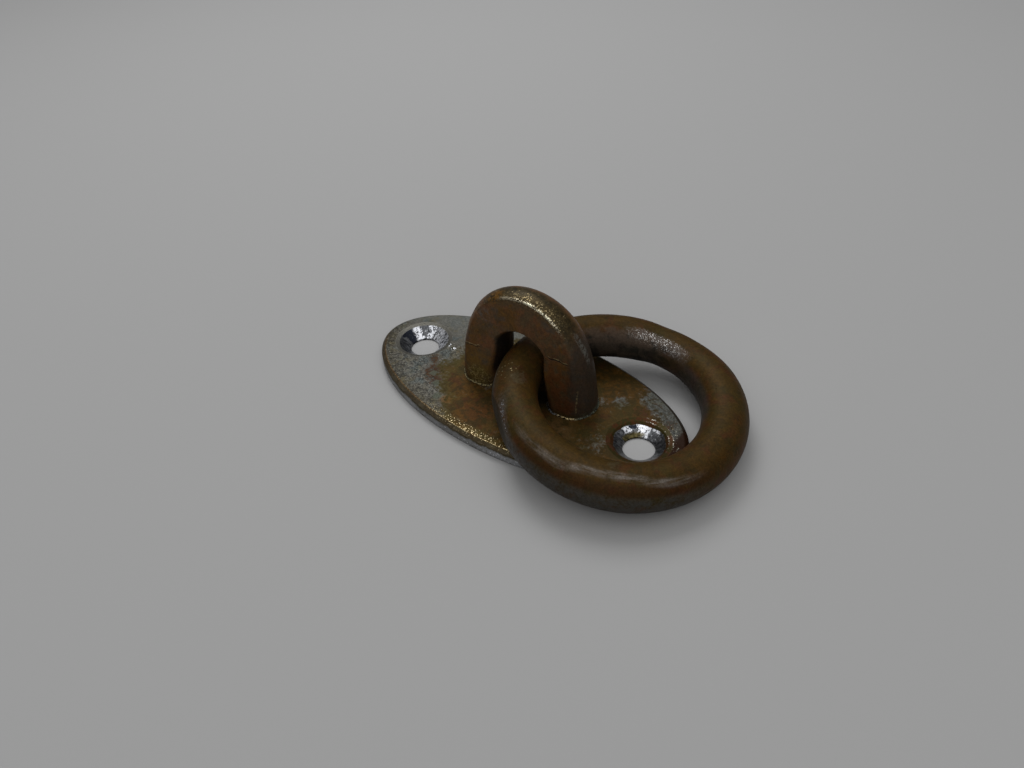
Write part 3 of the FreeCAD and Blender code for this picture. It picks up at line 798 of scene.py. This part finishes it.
    # Near limb at the eye: brass-coloured pits, a grey-green smudge, one greenish spot by the right screw
    pitted = paint.near(place, (2.4, -7.0, 11.6), 2.8)
    coats.lay(pitted * paint.specks(place, 0.40, 0.30, shift=12.0), tint(metal.bright, 0.32), 0.38, 0.9)
    smudges = paint.larger(
        paint.near(place, (5.5, -7.6, 12.2), 2.8), paint.near(place, (28.5, -13.1, 9.2), 2.0))
    smudge = paint.rise(smudges + (mottle - 0.5) * 2.4 + (grain - 0.5) * 2.0, 0.55, 1.2)
    coats.lay(smudge * 0.24, tint(metal.verdigris, 0.7), 0.5, 0.2)

    coats.dapple(paint.rise(fine * 0.5 + grain * 0.5, 0.36, 0.64), 0.74, 1.12)
    pits = paint.specks(place, 0.65, 0.12, shift=14.0)
    height = grain * 0.35 + mottle * 0.6 - pits * 0.35 + joint * (grain - 0.5) * 0.9 + fine * 0.15
    coats.finish(paint.bump(height, BUMP_DEPTH), **{"Specular IOR Level": TARNISH_SHINE})


def finish_node(node, paint_it, metal):
    """Gives a solid its own material in every slot."""
    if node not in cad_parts:
        raise RuntimeError("the frame has no node " + node)
    material = new_material(node)
    paint_it(material, metal)
    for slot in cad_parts[node].material_slots:
        slot.material = material


class MOORING_OT_plate(bpy.types.Operator):
    """Finishes the base plate"""

    bl_idname = "mooring.plate"
    bl_label = "Base plate"

    def execute(self, context):
        finish_node("base_plate", paint_plate, context.scene.mooring_metal)
        return {"FINISHED"}


class MOORING_OT_eye(bpy.types.Operator):
    """Finishes the eye"""

    bl_idname = "mooring.eye"
    bl_label = "Eye"

    def execute(self, context):
        finish_node("eye", paint_eye, context.scene.mooring_metal)
        return {"FINISHED"}


class MOORING_OT_ring(bpy.types.Operator):
    """Finishes the ring"""

    bl_idname = "mooring.ring"
    bl_label = "Ring"

    def execute(self, context):
        finish_node("ring", paint_ring, context.scene.mooring_metal)
        return {"FINISHED"}


def leg_middle(z):
    """How far a leg's middle line stands from the middle of the eye at this level, and how it leans there."""
    lean = math.radians(LEG_LEAN)
    crown_start = CROWN_CENTRE_Z + BEND_RADIUS * math.sin(lean)
    if z > crown_start:
        lean = math.asin((z - CROWN_CENTRE_Z) / BEND_RADIUS)
        return BEND_RADIUS * math.cos(lean), lean
    if z > FOOT_BEND_Z + FOOT_BEND_RADIUS * math.sin(lean):
        return BEND_RADIUS * math.cos(lean) + (crown_start - z) * math.tan(lean), lean
    lean = math.asin(max(0.0, z - FOOT_BEND_Z) / FOOT_BEND_RADIUS)
    return FOOT_X - FOOT_BEND_RADIUS * (1 - math.cos(lean)), lean


def braze_rows(height, rim):
    """From the rim on the plate up the leg: level over the plate, share of the swell, and width beyond it."""
    rows = [(-0.03, 1.0, rim), (0.09, 1.0, rim - 0.02), (0.14, 1.0, 0.6 * rim), (0.08, 1.0, 0.25 * rim)]
    rows.append((0.20, 1.0, -0.04))
    for step in range(BRAZE_STEPS + 1):
        share = step / BRAZE_STEPS
        past_full = max(0.0, share - BRAZE_FULL_SHARE) / (1 - BRAZE_FULL_SHARE)
        fade = 0.5 + 0.5 * math.cos(math.pi * past_full)
        rows.append((BRAZE_BASE + (height - BRAZE_BASE) * share, fade, -BRAZE_UNDER_SKIN * (1 - fade)))
    return rows


def lay_braze(name, foot, sizes):
    """An uneven skin of braze up one leg, pressed flat where the leg is and left out beside the ring."""
    shape = bmesh.new()
    swell = sizes.swell / MM
    rows = []
    for level, fade, beyond in braze_rows(sizes.height / MM, sizes.rim / MM):
        z = PLATE_THICKNESS + level
        middle, lean = leg_middle(z)
        flat = -FLAT_DEPTH - (FLAT_LEVEL - z) * math.tan(math.radians(FLAT_SLOPE))
        front = flat - BRAZE_OVER_FLAT * fade + BRAZE_UNDER_SKIN * (1 - fade) - max(0.0, beyond)
        row = []
        for step in range(BRAZE_AROUND):
            angle = 2 * math.pi * step / BRAZE_AROUND
            spot = Vector((math.cos(angle), math.sin(angle), 0.12 * level + foot))
            uneven = BRAZE_UNEVEN * noise.fractal(spot * 1.6, 1.0, 2.0, 4)
            kept = 1 - math.exp(-((angle - math.pi) / BRAZE_RING_SIDE) ** 2)
            radius = BAR_RADIUS + (swell + uneven) * fade * kept - BRAZE_UNDER_SKIN * (1 - kept) + beyond
            out = radius * math.cos(angle)
            x = foot * (middle + out * math.cos(lean)) - sizes.offset / MM * fade * kept
            y = max(radius * math.sin(angle), front)
            row.append(shape.verts.new((x, y, z + out * math.sin(lean))))
        rows.append(row)
    for lower, upper in zip(rows, rows[1:]):
        for step in range(BRAZE_AROUND):
            after = (step + 1) % BRAZE_AROUND
            shape.faces.new((lower[step], lower[after], upper[after], upper[step]))
    shape.faces.new(rows[0])
    shape.faces.new(rows[-1])
    turn = Matrix.Translation(EYE_PLACE) @ Matrix.Rotation(math.radians(EYE_TURN), 4, "Z")
    shape.transform(Matrix.Scale(MM, 4) @ turn)
    bmesh.ops.recalc_face_normals(shape, faces=shape.faces)
    mesh = bpy.data.meshes.new(name)
    shape.to_mesh(mesh)
    shape.free()
    mesh.polygons.foreach_set("use_smooth", [True] * len(mesh.polygons))
    piece = bpy.data.objects.new(name, mesh)
    bpy.context.scene.collection.objects.link(piece)
    return piece


class MOORING_OT_braze(bpy.types.Operator):
    """Lays the braze up each leg of the eye, in the eye's own finish"""

    bl_idname = "mooring.braze"
    bl_label = "Braze at the feet"

    def execute(self, context):
        finish = bpy.data.materials.get("eye")
        if finish is None:
            raise RuntimeError("the eye is finished before its braze")
        for name, foot in (("braze_left_foot", -1), ("braze_right_foot", 1)):
            piece = lay_braze(name, foot, context.scene.mooring_braze)
            piece.data.materials.append(finish)
            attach(piece, "plate_and_eye")
        return {"FINISHED"}


class MOORING_PT_panel(bpy.types.Panel):
    """The mooring ring's pieces and finishes"""

    bl_idname = "MOORING_PT_panel"
    bl_label = "Mooring Ring"
    bl_space_type = "VIEW_3D"
    bl_region_type = "UI"
    bl_category = "Mooring Ring"

    def draw(self, context):
        for operator in OPERATORS:
            self.layout.operator(operator.bl_idname)
        for group in SETTINGS:
            settings = getattr(context.scene, group)
            for name in settings.__annotations__:
                self.layout.prop(settings, name)


SETTINGS = {"mooring_metal": MetalColours, "mooring_braze": BrazeSizes, "mooring_stage": StageSettings}
OPERATORS = (MOORING_OT_plate, MOORING_OT_eye, MOORING_OT_ring, MOORING_OT_braze, MOORING_OT_stage)
CLASSES = (*SETTINGS.values(), *OPERATORS, MOORING_PT_panel)


def register():
    for made in CLASSES:
        bpy.utils.register_class(made)
    for name, settings in SETTINGS.items():
        setattr(bpy.types.Scene, name, bpy.props.PointerProperty(type=settings))


def unregister():
    for name in SETTINGS:
        delattr(bpy.types.Scene, name)
    for made in reversed(CLASSES):
        bpy.utils.unregister_class(made)


def main():
    register()
    bpy.ops.mooring.plate()
    bpy.ops.mooring.eye()
    bpy.ops.mooring.ring()
    bpy.ops.mooring.braze()
    bpy.ops.mooring.stage()


if __name__ == "__main__":
    main()
